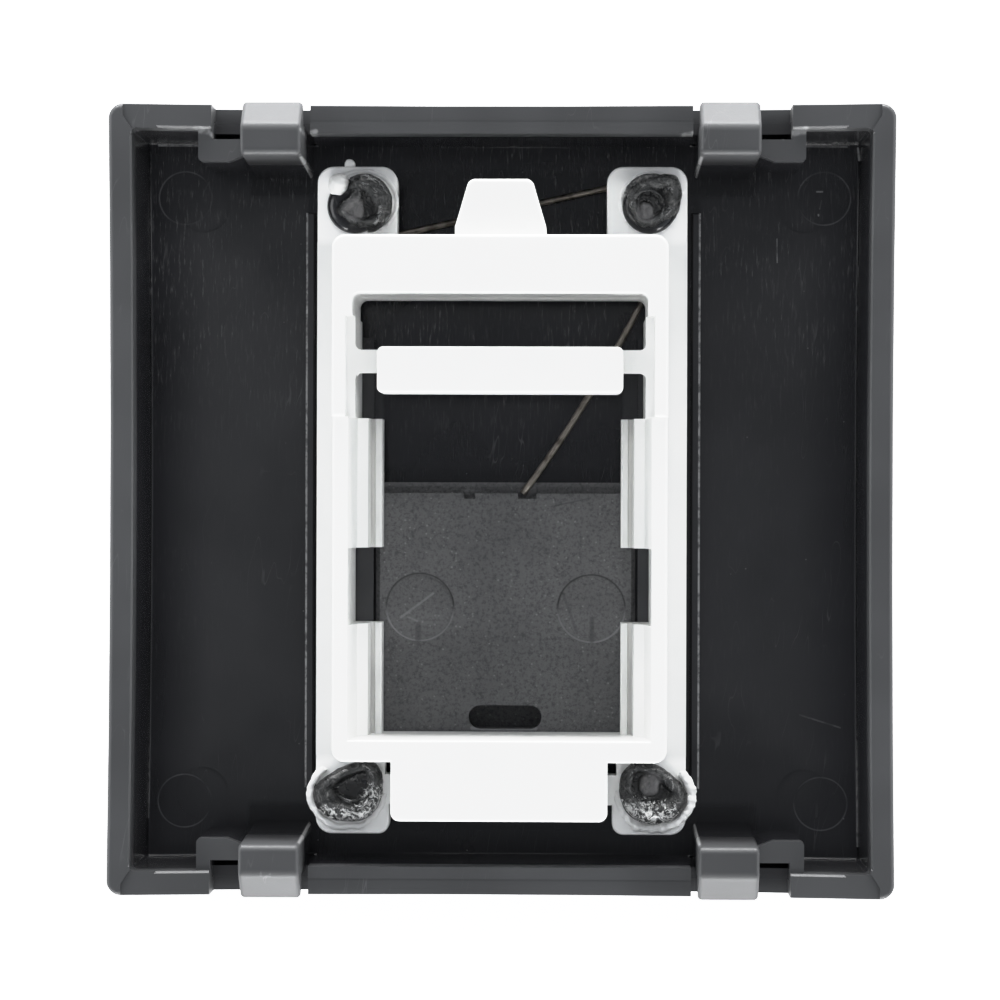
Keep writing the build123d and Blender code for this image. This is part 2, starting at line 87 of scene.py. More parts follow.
# Pale floor and soft boxes round the plate, with the space above it left dark
studio = {
    "floorSize": 3.0,
    "floorColour": (0.95, 0.95, 0.95, 1),
    "floorRoughness": 0.9,
    "floorShine": 0.1,
    "floorGlow": 1.1,
    "horizonColour": (0.86, 0.93, 1.0, 1),
    "horizonStop": 0.30,
    "zenithColour": (0.30, 0.315, 0.345, 1),
    "zenithStop": 0.85,
    "surroundStrength": 0.70,
    "boxes": [
        # name, place, aim, width, height, watts
        ("topBox", (0.0, 0.42, 0.065), (0, 0, 0.01), 0.62, 0.11, 4.8),
        ("bottomBox", (0.0, -0.42, 0.065), (0, 0, 0.01), 0.55, 0.11, 2.8),
        ("leftBox", (-0.42, 0.04, 0.20), (0, 0, 0.01), 0.45, 0.24, 0.7),
        ("rightBox", (0.42, 0.04, 0.20), (0, 0, 0.01), 0.45, 0.24, 0.7),
        ("upperFill", (0.0, 0.44, 0.55), (0, 0, 0), 0.10, 0.10, 0.62),
        ("lowerFill", (0.0, -0.44, 0.55), (0, 0, 0), 0.10, 0.10, 0.62),
    ],
    "whiteLevel": 1.8,
    "toneCurve": [
        (0.05, 0.0575),
        (0.3, 0.36),
        (0.5, 0.65),
        (0.64, 0.81),
        (0.8, 0.88),
        (1.0, 0.915),
        (1.3, 0.95),
    ],
}


def buildStudio(setup):
    clearSelection()
    bpy.ops.mesh.primitive_plane_add(size=setup["floorSize"], location=(0, 0, 0))
    floor = bpy.context.object
    floor.name = "studioFloor"
    paint = bpy.data.materials.new("paleFloor")
    paint.use_nodes = True
    shader = paint.node_tree.nodes["Principled BSDF"]
    shader.inputs["Base Color"].default_value = setup["floorColour"]
    shader.inputs["Roughness"].default_value = setup["floorRoughness"]
    shader.inputs["Specular IOR Level"].default_value = setup["floorShine"]
    shader.inputs["Emission Color"].default_value = (1, 1, 1, 1)
    shader.inputs["Emission Strength"].default_value = setup["floorGlow"]
    floor.data.materials.append(paint)

    world = bpy.data.worlds.new("softSurround")
    world.use_nodes = True
    tree = world.node_tree
    surround = tree.nodes["Background"]
    surround.inputs["Strength"].default_value = setup["surroundStrength"]
    place = tree.nodes.new("ShaderNodeTexCoord")
    split = tree.nodes.new("ShaderNodeSeparateXYZ")
    ramp = tree.nodes.new("ShaderNodeValToRGB")
    for stop, end in zip(ramp.color_ramp.elements, ("horizon", "zenith")):
        stop.position = setup[end + "Stop"]
        stop.color = setup[end + "Colour"]
    tree.links.new(place.outputs["Generated"], split.inputs["Vector"])
    tree.links.new(split.outputs["Z"], ramp.inputs["Fac"])
    tree.links.new(ramp.outputs["Color"], surround.inputs["Color"])
    scene.world = world

    for name, spot, aim, width, height, watts in setup["boxes"]:
        clearSelection()
        bpy.ops.object.light_add(type="AREA", location=spot)
        box = bpy.context.object
        box.name = name
        box.rotation_euler = (Vector(aim) - Vector(spot)).to_track_quat("-Z", "Y").to_euler()
        box.data.shape = "RECTANGLE"
        box.data.size = width
        box.data.size_y = height
        box.data.energy = watts

    scene.view_settings.view_transform = "Standard"
    scene.view_settings.look = "None"
    scene.view_settings.use_curve_mapping = True  # bright parts roll off as on the photograph
    mapping = scene.view_settings.curve_mapping
    mapping.white_level = [setup["whiteLevel"]] * 3
    for bright, shown in setup["toneCurve"]:
        mapping.curves[3].points.new(bright / setup["whiteLevel"], shown)
    mapping.update()


buildStudio(studio)
report("studio")


# Small makers of shader nodes
def newMaterial(name):
    material = bpy.data.materials.new(name)
    material.use_nodes = True
    tree = material.node_tree
    return material, tree, tree.nodes["Principled BSDF"]


def newGroup(name, inputs):
    group = bpy.data.node_groups.new(name, "ShaderNodeTree")
    for label, value in inputs.items():
        kind = "NodeSocketVector" if value is None else "NodeSocketFloat"
        socket = group.interface.new_socket(label, in_out="INPUT", socket_type=kind)
        if value is not None:
            socket.default_value = value
    group.interface.new_socket("Mask", in_out="OUTPUT", socket_type="NodeSocketFloat")
    given = group.nodes.new("NodeGroupInput").outputs
    return group, given, group.nodes.new("NodeGroupOutput").inputs[0]


def feed(tree, socket, value):
    if isinstance(value, bpy.types.NodeSocket):
        tree.links.new(value, socket)
    elif value is not None:
        socket.default_value = value


def calc(tree, operation, first, second=None, third=None, clamp=False):
    node = tree.nodes.new("ShaderNodeMath")
    node.operation = operation
    node.use_clamp = clamp
    for socket, value in zip(node.inputs, (first, second, third)):
        feed(tree, socket, value)
    return node.outputs[0]


def vectorCalc(tree, operation, first, second=None, output="Vector"):
    node = tree.nodes.new("ShaderNodeVectorMath")
    node.operation = operation
    feed(tree, node.inputs[0], first)
    feed(tree, node.inputs[1], second)
    return node.outputs[output]


def vectorValue(tree, operation, first, second=None):
    return vectorCalc(tree, operation, first, second, output="Value")


def times(tree, first, *others):
    for value in others:
        first = calc(tree, "MULTIPLY", first, value)
    return first


def spread(tree, value, low, high, newLow=0.0, newHigh=1.0):
    node = tree.nodes.new("ShaderNodeMapRange")
    node.interpolation_type = "SMOOTHSTEP"
    for label, item in (
        ("Value", value),
        ("From Min", low),
        ("From Max", high),
        ("To Min", newLow),
        ("To Max", newHigh),
    ):
        feed(tree, node.inputs[label], item)
    return node.outputs["Result"]


def blendColours(tree, share, first, second):
    node = tree.nodes.new("ShaderNodeMix")
    node.data_type = "RGBA"
    feed(tree, node.inputs["Factor"], share)
    feed(tree, node.inputs["A"], first)
    feed(tree, node.inputs["B"], second)
    return node.outputs["Result"]


def useGroup(tree, group, **values):
    node = tree.nodes.new("ShaderNodeGroup")
    node.node_tree = group
    for label, value in values.items():
        feed(tree, node.inputs[label], value)
    return node.outputs[0]


def noise(tree, place, scale, detail=2.0, roughness=0.5, distortion=0.0):
    node = tree.nodes.new("ShaderNodeTexNoise")
    feed(tree, node.inputs["Vector"], place)
    feed(tree, node.inputs["Scale"], scale)
    node.inputs["Detail"].default_value = detail
    node.inputs["Roughness"].default_value = roughness
    node.inputs["Distortion"].default_value = distortion
    return node.outputs["Fac"]


def millimetres(tree):
    place = tree.nodes.new("ShaderNodeTexCoord").outputs["Object"]
    return vectorCalc(tree, "MULTIPLY", place, (1000, 1000, 1000))


def flatten(tree, place):
    return vectorCalc(tree, "MULTIPLY", place, (1, 1, 0))


def bump(tree, height, distance, strength=1.0):
    node = tree.nodes.new("ShaderNodeBump")
    node.inputs["Strength"].default_value = strength
    node.inputs["Distance"].default_value = distance
    feed(tree, node.inputs["Height"], height)
    return node.outputs["Normal"]


# Effects that several finishes share, all in millimetres
def makeRegion():
    group, given, mask = newGroup("region", {"Place": None, "Centre": None, "Half": None, "Soft": 0.2})
    away = vectorCalc(group, "SUBTRACT", given["Place"], given["Centre"])
    away = vectorCalc(group, "ABSOLUTE", away)
    away = vectorCalc(group, "SUBTRACT", away, given["Half"])
    split = group.nodes.new("ShaderNodeSeparateXYZ")
    feed(group, split.inputs[0], away)
    furthest = calc(group, "MAXIMUM", split.outputs[0], split.outputs[1])
    furthest = calc(group, "MAXIMUM", furthest, split.outputs[2])
    share = calc(group, "DIVIDE", furthest, given["Soft"], clamp=True)
    feed(group, mask, calc(group, "SUBTRACT", 1.0, share))
    return group


def makeStreaks():
    group, given, mask = newGroup("toolStreaks", {"Place": None, "Stretch": None, "Low": 0.5, "High": 0.7})
    drawn = vectorCalc(group, "MULTIPLY", given["Place"], given["Stretch"])
    lines = noise(group, drawn, 1.0, detail=3.0, roughness=0.65)
    feed(group, mask, spread(group, lines, given["Low"], given["High"]))
    return group


def makeHairlines():
    group, given, mask = newGroup(
        "hairlines", {"Place": None, "Turn": None, "Stretch": None, "Width": 0.01, "Patch": 0.5}
    )
    turned = group.nodes.new("ShaderNodeMapping")
    feed(group, turned.inputs["Vector"], given["Place"])
    feed(group, turned.inputs["Rotation"], given["Turn"])
    drawn = vectorCalc(group, "MULTIPLY", turned.outputs["Vector"], given["Stretch"])
    field = noise(group, drawn, 1.0, detail=1.0)
    off = calc(group, "ABSOLUTE", calc(group, "SUBTRACT", field, 0.5))
    line = spread(group, off, 0.0, given["Width"], 1.0, 0.0)
    patch = spread(group, noise(group, given["Place"], 0.33), given["Patch"], 0.75)
    feed(group, mask, times(group, line, patch))
    return group


def makeSpecks():
    group, given, mask = newGroup("specks", {"Place": None, "Density": 1.0, "Size": 0.1, "Share": 0.3})
    cells = group.nodes.new("ShaderNodeTexVoronoi")
    feed(group, cells.inputs["Vector"], given["Place"])
    feed(group, cells.inputs["Scale"], given["Density"])
    dot = spread(group, cells.outputs["Distance"], 0.0, given["Size"], 1.0, 0.0)
    split = group.nodes.new("ShaderNodeSeparateColor")
    feed(group, split.inputs[0], cells.outputs["Color"])
    chosen = calc(group, "LESS_THAN", split.outputs[0], given["Share"])
    feed(group, mask, times(group, dot, chosen))
    return group


# The disc and the stroke are given a place made flat
def makeDisc():
    group, given, mask = newGroup("pinMark", {"Place": None, "Centre": None, "Radius": 1.0, "Soft": 0.05})
    far = vectorValue(group, "LENGTH", vectorCalc(group, "SUBTRACT", given["Place"], given["Centre"]))
    past = calc(group, "DIVIDE", calc(group, "SUBTRACT", far, given["Radius"]), given["Soft"])
    feed(group, mask, spread(group, past, -1.0, 1.0, 1.0, 0.0))
    return group


def makeStroke():
    group, given, mask = newGroup(
        "stroke", {"Place": None, "Start": None, "End": None, "Width": 0.1, "Strength": 1.0}
    )
    out = vectorCalc(group, "SUBTRACT", given["Place"], given["Start"])
    run = vectorCalc(group, "SUBTRACT", given["End"], given["Start"])
    done = vectorValue(group, "DOT_PRODUCT", out, run)
    whole = vectorValue(group, "DOT_PRODUCT", run, run)
    share = calc(group, "DIVIDE", done, whole, clamp=True)
    off = vectorCalc(group, "SUBTRACT", out, vectorCalc(group, "MULTIPLY", run, share))
    core = times(group, given["Width"], 0.3)
    far = vectorValue(group, "LENGTH", off)
    feed(group, mask, spread(group, far, core, given["Width"], given["Strength"], 0.0))
    return group


regionGroup = makeRegion()
discGroup = makeDisc()
strokeGroup = makeStroke()
streakGroup = makeStreaks()
hairlineGroup = makeHairlines()
speckGroup = makeSpecks()


def zone(tree, place, look, name):
    return useGroup(
        tree,
        regionGroup,
        Place=place,
        Centre=look[name + "Centre"],
        Half=look[name + "Half"],
        Soft=look[name + "Soft"],
    )


def pinDiscs(tree, flat, look):
    pins = 0.0
    for centre in look["pinMarks"]:
        disc = useGroup(
            tree, discGroup, Place=flat, Centre=centre, Radius=look["pinRadius"], Soft=look["pinSoft"]
        )
        pins = calc(tree, "MAXIMUM", pins, disc)
    return pins


def strokeMask(tree, flat, stroke):
    start, end, width, strength = stroke
    return useGroup(
        tree, strokeGroup, Place=flat, Start=start, End=end, Width=width, Strength=strength
    )


def outline(tree, mask):
    return times(tree, mask, calc(tree, "SUBTRACT", 1.0, mask), 4.0)


def dress(piece, material):
    piece.data.materials.clear()
    piece.data.materials.append(material)


graphite = {
    "wallColour": (0.046, 0.047, 0.049, 1),
    "wallRoughness": 0.46,
    # painted shade colour of the floor near the walls and under the holder
    "floorShadeColour": (0.0135, 0.0135, 0.0155, 1),
    "insideCentre": (0, 0, 3.0),
    "insideHalf": (21.5, 21.6, 4.2),
    "insideSoft": 0.9,
    # painted shade on the inner faces of the cavity walls
    "innerWallShadeColour": (0.032, 0.032, 0.0335, 1),
    "innerWallX": (21.1, 21.3),
    "innerWallY": (21.2, 21.4),
    "floorColour": (0.040, 0.040, 0.0415, 1),
    "floorRoughness": 0.20,
    "floorTop": (2.4, 2.15),  # Z between which marks of the floor fade in
    "floorX": (20.6, 17.0),  # painted shade: the floor is palest away from the walls and the holder and darker towards them
    "floorY": (20.2, 16.0),
    "floorFromHolder": (9.0, 12.0),
    "floorSideways": (-9.0, 9.0, 1.0, 0.62),
    "besideColour": (0.048, 0.048, 0.050, 1),  # floor beside the shutter
    "besideCentre": (8.1, 5.0, 2.2),
    "besideHalf": (0.85, 2.6, 2.2),
    "besideSoft": 0.2,
    "driftScale": 0.12,
    "driftMask": (0.3, 0.7, 0.85, 1.15),
    "streakColour": (0.082, 0.082, 0.083, 1),
    "streakStretch": (7.0, 0.75, 1.0),
    "streakLow": 0.5,
    "streakHigh": 0.78,
    "streakUpwards": (1.0, 13.0, 0.10, 1.0),
    "streakPatchScale": 0.22,
    "streakPatches": (0.35, 0.6, 0.25, 1.0),
    "streakRoughness": 0.18,
    "streakDepth": 0.000004,
    "dust": {"Density": 0.9, "Size": 0.06, "Share": 0.35},
    "dustStrength": 0.3,
    "hairs": {"Turn": (0, 0, 0.12), "Stretch": (1.1, 0.16, 1.0), "Width": 0.006, "Patch": 0.5},
    "hairStrength": 0.12,
    "markAndHighlightColour": (0.40, 0.40, 0.40, 1),
    "brokenScale": 1.9,
    "brokenMask": (0.36, 0.58, 0.35, 1.0),
    "scratchesAndHighlights": [
        # start, end, width, strength
        ((18.62, 18.42, 0), (18.95, 18.42, 0), 0.07, 0.9),
        ((18.9, 17.9, 0), (18.8, 17.4, 0), 0.05, 0.25),
        ((18.72, 17.06, 0), (18.73, 17.0, 0), 0.07, 0.6),
        ((16.26, 15.6, 0), (16.28, 14.2, 0), 0.05, 0.45),
        ((17.7, -12.7, 0), (20.1, -13.45, 0), 0.07, 0.12),
        # from here on, painted highlights along the floor's junctions with the walls
        ((-20.6, 21.14, 0), (-17.9, 21.12, 0), 0.09, 0.55),
        ((17.4, 21.10, 0), (20.4, 21.08, 0), 0.07, 0.45),
        ((21.05, 21.0, 0), (21.12, 20.3, 0), 0.09, 0.6),
        ((21.10, 14.0, 0), (21.10, 2.0, 0), 0.05, 0.32),
        ((21.10, -4.0, 0), (21.12, -20.5, 0), 0.06, 0.45),
        ((-21.14, 16.0, 0), (-21.14, 4.0, 0), 0.05, 0.25),
        ((-21.12, -2.0, 0), (-21.10, -19.0, 0), 0.05, 0.12),
        ((-10.6, 21.12, 0), (9.9, 21.12, 0), 0.05, 0.18),
        ((-9.8, -21.12, 0), (9.6, -21.12, 0), 0.05, 0.30),
    ],
    "rimTop": (7.2, 7.8),
    # painted highlights along the rim's inner edges and at the corners of the clips' webs
    "rimHighlights": [
        ((-17.59, 21.33, 0), (-16.95, 21.22, 0), 0.26, 0.6),
        ((-16.95, 21.22, 0), (-16.53, 20.91, 0), 0.18, 0.5),
        ((-11.25, 20.99, 0), (-10.67, 21.16, 0), 0.20, 0.5),
        ((17.46, 21.29, 0), (16.83, 21.18, 0), 0.28, 0.6),
        ((16.83, 21.18, 0), (16.17, 20.87, 0), 0.15, 0.5),
        ((11.16, 21.12, 0), (10.47, 20.94, 0), 0.20, 0.5),
        ((17.11, 21.35, 0), (21.10, 21.35, 0), 0.06, 0.35),
        ((-17.60, 21.36, 0), (-21.10, 21.34, 0), 0.06, 0.35),
    ],
    "pinMarks": [(-19.0, 18.0, 0), (19.05, 18.0, 0), (-18.97, -17.98, 0), (18.94, -17.99, 0)],
    "pinRadius": 1.57,
    "pinSoft": 0.07,
    "pinLineColour": (0.085, 0.085, 0.088, 1),
    "pinLineStrength": 0.8,
    "pinWearScale": 0.5,
    "pinWear": (0.35, 0.6, 0.15, 1.0),
    "pinDepth": 3.0,
    "ribCentre": (0, 0, 3.15),
    "ribHalf": (11.66, 17.0, 0.15),
    "ribSoft": 0.06,
    "ribInnerCentre": (0, 0, 3.15),
    "ribInnerHalf": (11.55, 17.1, 2.0),
    "ribInnerSoft": 0.05,
    "ribWearScale": 2.4,
    "ribWear": (0.34, 0.6, 0.25, 1.0),
    # painted highlight on the rounded inner edge of each clip
    "clipEdgeCentre": (11.40, 19.30, 6.4),
    "clipEdgeHalf": (0.05, 0.28, 4.0),
    "clipEdgeSoft": 0.07,
    "clipEdgeStrength": 0.6,
    "clipShadeColour": (0.008, 0.008, 0.009, 1),  # painted shade on the inner slopes of the clips
    "clipShadeOuterY": (19.66, 19.56),
    "clipShadeInnerY": (17.8, 18.4),
    "clipShadeZ": (10.9, 8.2),
    "clipShadeX": (15.3, 14.9),
    "grainPerMm": 9.0,
    "grainDepth": 0.000006,
}


def makeGraphitePlastic(look):
    material, tree, shader = newMaterial("graphitePlastic")
    place = millimetres(tree)
    mirrored = vectorCalc(tree, "ABSOLUTE", place)
    flat = flatten(tree, place)
    split = tree.nodes.new("ShaderNodeSeparateXYZ")
    feed(tree, split.inputs[0], place)
    x, y, z = split.outputs
    across = calc(tree, "ABSOLUTE", x)
    along = calc(tree, "ABSOLUTE", y)
    low = spread(tree, z, *look["floorTop"])
    high = spread(tree, z, *look["rimTop"])
    floor = zone(tree, place, look, "inside")

    # tool marks
    streaks = useGroup(
        tree,
        streakGroup,
        Place=place,
        Stretch=look["streakStretch"],
        Low=look["streakLow"],
        High=look["streakHigh"],
    )
    upper = spread(tree, y, *look["streakUpwards"])
    patchy = spread(tree, noise(tree, place, look["streakPatchScale"], detail=3.0), *look["streakPatches"])
    streaks = times(tree, streaks, upper, patchy, low)

    # light marks: dust, fine hairs and scratches, with painted highlights along the floor's junctions with
    # the walls, the rim's inner edges, the clips' inner edges and the rib burrs
    dust = times(tree, useGroup(tree, speckGroup, Place=place, **look["dust"]), low, look["dustStrength"])
    hairs = times(tree, useGroup(tree, hairlineGroup, Place=place, **look["hairs"]), look["hairStrength"])
    marksAndHighlights = calc(tree, "MAXIMUM", hairs, dust)
    broken = spread(tree, noise(tree, place, look["brokenScale"], detail=3.0), *look["brokenMask"])
    for strokes, level in ((look["scratchesAndHighlights"], low), (look["rimHighlights"], high)):
        lines = 0.0
        for stroke in strokes:
            lines = calc(tree, "MAXIMUM", lines, strokeMask(tree, flat, stroke))
        marksAndHighlights = calc(tree, "MAXIMUM", marksAndHighlights, times(tree, lines, level, broken))
    # a pale burr on each rib's outer top edge, painted brighter as the highlight it catches
    within = zone(tree, place, look, "ribInner")
    ribBurrHighlight = times(tree, zone(tree, place, look, "rib"), calc(tree, "SUBTRACT", 1.0, within))
    ribWear = noise(tree, place, look["ribWearScale"], detail=4.0, roughness=0.7)
    ribBurrHighlight = times(tree, ribBurrHighlight, spread(tree, ribWear, *look["ribWear"]))
    marksAndHighlights = calc(tree, "MAXIMUM", marksAndHighlights, ribBurrHighlight)
    clipEdgeHighlight = times(tree, zone(tree, mirrored, look, "clipEdge"), look["clipEdgeStrength"])
    marksAndHighlights = calc(tree, "MAXIMUM", marksAndHighlights, clipEdgeHighlight)

    # ejector pin marks
    pins = times(tree, pinDiscs(tree, flat, look), low)
    worn = spread(tree, noise(tree, place, look["pinWearScale"]), *look["pinWear"])
    pinLine = times(tree, outline(tree, pins), worn, look["pinLineStrength"])

    # shades of the plastic, with painted shade on the floor, the inner walls and the clips' inner slopes
    # painted shade: the floor darkens near the walls, under the holder and towards +X
    unshadedFloorShare = times(
        tree,
        spread(tree, across, *look["floorX"]),
        spread(tree, along, *look["floorY"]),
        spread(tree, across, *look["floorFromHolder"]),
        spread(tree, x, *look["floorSideways"]),
    )
    inside = blendColours(tree, unshadedFloorShare, look["floorShadeColour"], look["floorColour"])
    inside = blendColours(tree, zone(tree, mirrored, look, "beside"), inside, look["besideColour"])
    # painted shade on the inner faces of the walls
    innerWallShade = calc(
        tree,
        "MAXIMUM",
        spread(tree, across, *look["innerWallX"]),
        spread(tree, along, *look["innerWallY"]),
    )
    inside = blendColours(tree, innerWallShade, inside, look["innerWallShadeColour"])
    colour = blendColours(tree, floor, look["wallColour"], inside)
    # painted shade darkening the clips' inner slopes towards the floor
    clipShadeMask = times(
        tree,
        spread(tree, along, *look["clipShadeOuterY"]),
        spread(tree, along, *look["clipShadeInnerY"]),
        spread(tree, z, *look["clipShadeZ"]),
        spread(tree, across, *look["clipShadeX"]),
    )
    colour = blendColours(tree, clipShadeMask, colour, look["clipShadeColour"])
    colour = blendColours(tree, streaks, colour, look["streakColour"])
    drift = spread(tree, noise(tree, place, look["driftScale"]), *look["driftMask"])
    tint = tree.nodes.new("ShaderNodeCombineXYZ")
    for socket in tint.inputs:
        feed(tree, socket, drift)
    colour = vectorCalc(tree, "MULTIPLY", colour, tint.outputs[0])
    colour = blendColours(tree, pinLine, colour, look["pinLineColour"])
    colour = blendColours(tree, marksAndHighlights, colour, look["markAndHighlightColour"])
    feed(tree, shader.inputs["Base Color"], colour)

    rough = spread(tree, floor, 0.0, 1.0, look["wallRoughness"], look["floorRoughness"])
    rough = calc(tree, "ADD", rough, times(tree, streaks, look["streakRoughness"]))
    feed(tree, shader.inputs["Roughness"], rough)
    grain = noise(tree, place, look["grainPerMm"], detail=3.0, roughness=0.6)
    grain = times(tree, grain, calc(tree, "SUBTRACT", 1.0, floor))
    height = calc(tree, "ADD", grain, times(tree, streaks, look["streakDepth"] / look["grainDepth"]))
    height = calc(tree, "SUBTRACT", height, times(tree, pins, look["pinDepth"]))
    feed(tree, shader.inputs["Normal"], bump(tree, height, look["grainDepth"]))
    return material


white = {
    "colour": (0.80, 0.80, 0.785, 1),
    # painted shade on the recessed ledges inside the frame
    "ledgeShadeColour": (0.76, 0.76, 0.74, 1),
    "ledgeCentre": (0, -4.5, 7.2),
    "ledgeHalf": (8.6, 9.4, 3.4),
    "ledgeSoft": 0.3,
    "ledgeStrength": 0.6,
    "smudgeColour": (0.60, 0.60, 0.58, 1),
    "smudgeScale": 0.45,
    "smudgeMask": (0.35, 0.75, 0.0, 0.10),
    # painted light: the ears are made whiter to make up for the shade they sit in
    "earPaintedLightColour": (0.97, 0.97, 0.955, 1),
    "earCentre": (0, 17.6, 5.1),
    "earHalf": (11.2, 2.3, 1.1),
    "earSoft": 0.5,
    "roughness": (0.32, 0.46),
    "grainPerMm": 3.0,
    "grainDepth": 0.000004,
    "glow": 0.15,  # share of the light that wanders under the surface
    "glowColour": (1, 1, 0.95),
    "glowDepth": 0.0006,
}


def makeWhitePlastic(look):
    material, tree, shader = newMaterial("whitePlastic")
    place = millimetres(tree)
    mirrored = vectorCalc(tree, "ABSOLUTE", place)
    # painted shade on the recessed ledges
    ledgeShade = times(tree, zone(tree, place, look, "ledge"), look["ledgeStrength"])
    smudges = spread(tree, noise(tree, place, look["smudgeScale"], detail=4.0), *look["smudgeMask"])
    colour = blendColours(tree, ledgeShade, look["colour"], look["ledgeShadeColour"])
    colour = blendColours(tree, smudges, colour, look["smudgeColour"])
    # painted light on the ears
    colour = blendColours(tree, zone(tree, mirrored, look, "ear"), colour, look["earPaintedLightColour"])
    feed(tree, shader.inputs["Base Color"], colour)
    fine = noise(tree, place, look["grainPerMm"])
    feed(tree, shader.inputs["Roughness"], spread(tree, fine, 0.2, 0.8, *look["roughness"]))
    feed(tree, shader.inputs["Normal"], bump(tree, fine, look["grainDepth"]))
    shader.inputs["Subsurface Weight"].default_value = look["glow"]
    shader.inputs["Subsurface Radius"].default_value = look["glowColour"]
    shader.inputs["Subsurface Scale"].default_value = look["glowDepth"]
    return material


shutterLook = {
    "colour": (0.091, 0.091, 0.093, 1),
    "paleAndHighlightColour": (0.20, 0.20, 0.205, 1),
    "darkLineAndShadeColour": (0.020, 0.020, 0.021, 1),
    "face": (3.3, 3.5),  # Z between which marks of the back face fade in
    "speckColour": (0.28, 0.28, 0.28, 1),
    "specks": {"Density": 4.0, "Size": 0.35, "Share": 0.25},
    "speckStrength": 0.55,
    "driftScale": 0.25,
    "driftMask": (0.3, 0.7, 0.0, 0.10),
    "pitScale": 4.6,
    "pitMask": (0.44, 0.66, 0.0, 0.62),
    "roughness": (0.52, 0.72),
    "sparkPerMm": 6.5,
    "sparkDepth": 0.00003,
    "pinMarks": [(-4.85, -6.31, 0), (5.28, -6.37, 0)],
    "pinRadius": 1.99,
    "pinSoft": 0.09,
    "pinLowerY": (-6.0, -7.2),  # below this the rings get a painted highlight, above it painted shade
    "pinShadeStrength": 0.9,
    "pinHighlightStrength": 0.8,
    "pinDepth": 1.6,
    # painted shade on the floor of the grip slot's hollow
    "gripShadeColour": (0.006, 0.006, 0.006, 1),
    "gripCentre": (0, -12.85, 2.4),
    "gripHalf": (2.0, 0.50, 0.85),
    "gripSoft": 0.08,
    # painted highlight along the bottom of the grip slot
    "gripHighlight": ((-1.45, -13.12, 0), (1.77, -13.10, 0), 0.10, 0.45),
    "scratchesAndHighlights": [
        # start, end, width, strength, paler or darker
        ((-5.97, -6.93, 0), (-4.08, -5.51, 0), 0.10, 0.6, "pale"),
        ((-5.56, -6.91, 0), (-5.02, -7.14, 0), 0.09, 0.5, "pale"),
        ((-4.96, -7.45, 0), (-4.96, -8.25, 0), 0.26, 0.45, "dark"),
        ((5.32, -6.98, 0), (5.32, -8.28, 0), 0.20, 0.5, "dark"),
        ((3.60, -5.45, 0), (4.44, -7.81, 0), 0.12, 0.35, "dark"),
        ((2.90, -0.35, 0), (5.20, 0.15, 0), 0.07, 0.4, "dark"),
        # painted highlight along the lower rim of the grip slot
        ((-1.75, -13.47, 0), (2.0, -13.47, 0), 0.17, 0.9, "pale"),
    ],
}


def makeShutterPlastic(look):
    material, tree, shader = newMaterial("shutterPlastic")
    place = millimetres(tree)
    flat = flatten(tree, place)
    split = tree.nodes.new("ShaderNodeSeparateXYZ")
    feed(tree, split.inputs[0], place)
    face = spread(tree, split.outputs[2], *look["face"])
    specks = times(tree, useGroup(tree, speckGroup, Place=place, **look["specks"]), look["speckStrength"])
    drift = spread(tree, noise(tree, place, look["driftScale"]), *look["driftMask"])
    pits = noise(tree, place, look["pitScale"], detail=4.0, roughness=0.8)
    colour = blendColours(tree, specks, look["colour"], look["speckColour"])
    colour = blendColours(tree, drift, colour, look["speckColour"])
    colour = blendColours(tree, spread(tree, pits, *look["pitMask"]), colour, look["darkLineAndShadeColour"])

    # ejector pin marks, with painted shade on the upper part of each ring and a painted highlight on the
    # lower part
    pins = times(tree, pinDiscs(tree, flat, look), face)
    ring = outline(tree, pins)
    lower = spread(tree, split.outputs[1], *look["pinLowerY"])
    shadedRing = times(tree, ring, calc(tree, "SUBTRACT", look["pinShadeStrength"], lower))
    highlightedRing = times(tree, ring, times(tree, lower, look["pinHighlightStrength"]))
    colour = blendColours(tree, shadedRing, colour, look["darkLineAndShadeColour"])
    colour = blendColours(tree, highlightedRing, colour, look["paleAndHighlightColour"])

    shades = {"pale": look["paleAndHighlightColour"], "dark": look["darkLineAndShadeColour"]}
    for *stroke, shade in look["scratchesAndHighlights"]:
        line = times(tree, strokeMask(tree, flat, stroke), face)
        colour = blendColours(tree, line, colour, shades[shade])
    # painted shade in the hollow of the grip slot
    grip = zone(tree, place, look, "grip")
    colour = blendColours(tree, grip, colour, look["gripShadeColour"])
    # painted highlight inside the grip slot
    line = times(tree, strokeMask(tree, flat, look["gripHighlight"]), grip)
    colour = blendColours(tree, line, colour, look["paleAndHighlightColour"])
    feed(tree, shader.inputs["Base Color"], colour)

    sparks = noise(tree, place, look["sparkPerMm"], detail=4.0, roughness=0.65)
    feed(tree, shader.inputs["Roughness"], spread(tree, sparks, 0.3, 0.7, *look["roughness"]))
    height = calc(tree, "SUBTRACT", sparks, times(tree, pins, look["pinDepth"]))
    feed(tree, shader.inputs["Normal"], bump(tree, height, look["sparkDepth"]))
    return material


wire = {
    "colour": (0.27, 0.245, 0.215, 1),
    "stainColour": (0.11, 0.095, 0.08, 1),
    "stainScale": 1.3,
    "stainMask": (0.4, 0.65),
    "metal": 0.85,
    "roughness": (0.34, 0.52),
    "drawnPerMm": 12.0,
    "drawnDepth": 0.000004,
}


def makeSpringSteel(look):
    material, tree, shader = newMaterial("springSteel")
    place = millimetres(tree)
    stain = spread(tree, noise(tree, place, look["stainScale"], detail=3.0), *look["stainMask"])
    feed(tree, shader.inputs["Base Color"], blendColours(tree, stain, look["colour"], look["stainColour"]))
    shader.inputs["Metallic"].default_value = look["metal"]
    drawn = noise(tree, place, look["drawnPerMm"])
    feed(tree, shader.inputs["Roughness"], spread(tree, drawn, 0.3, 0.7, *look["roughness"]))
    feed(tree, shader.inputs["Normal"], bump(tree, drawn, look["drawnDepth"]))
    return material


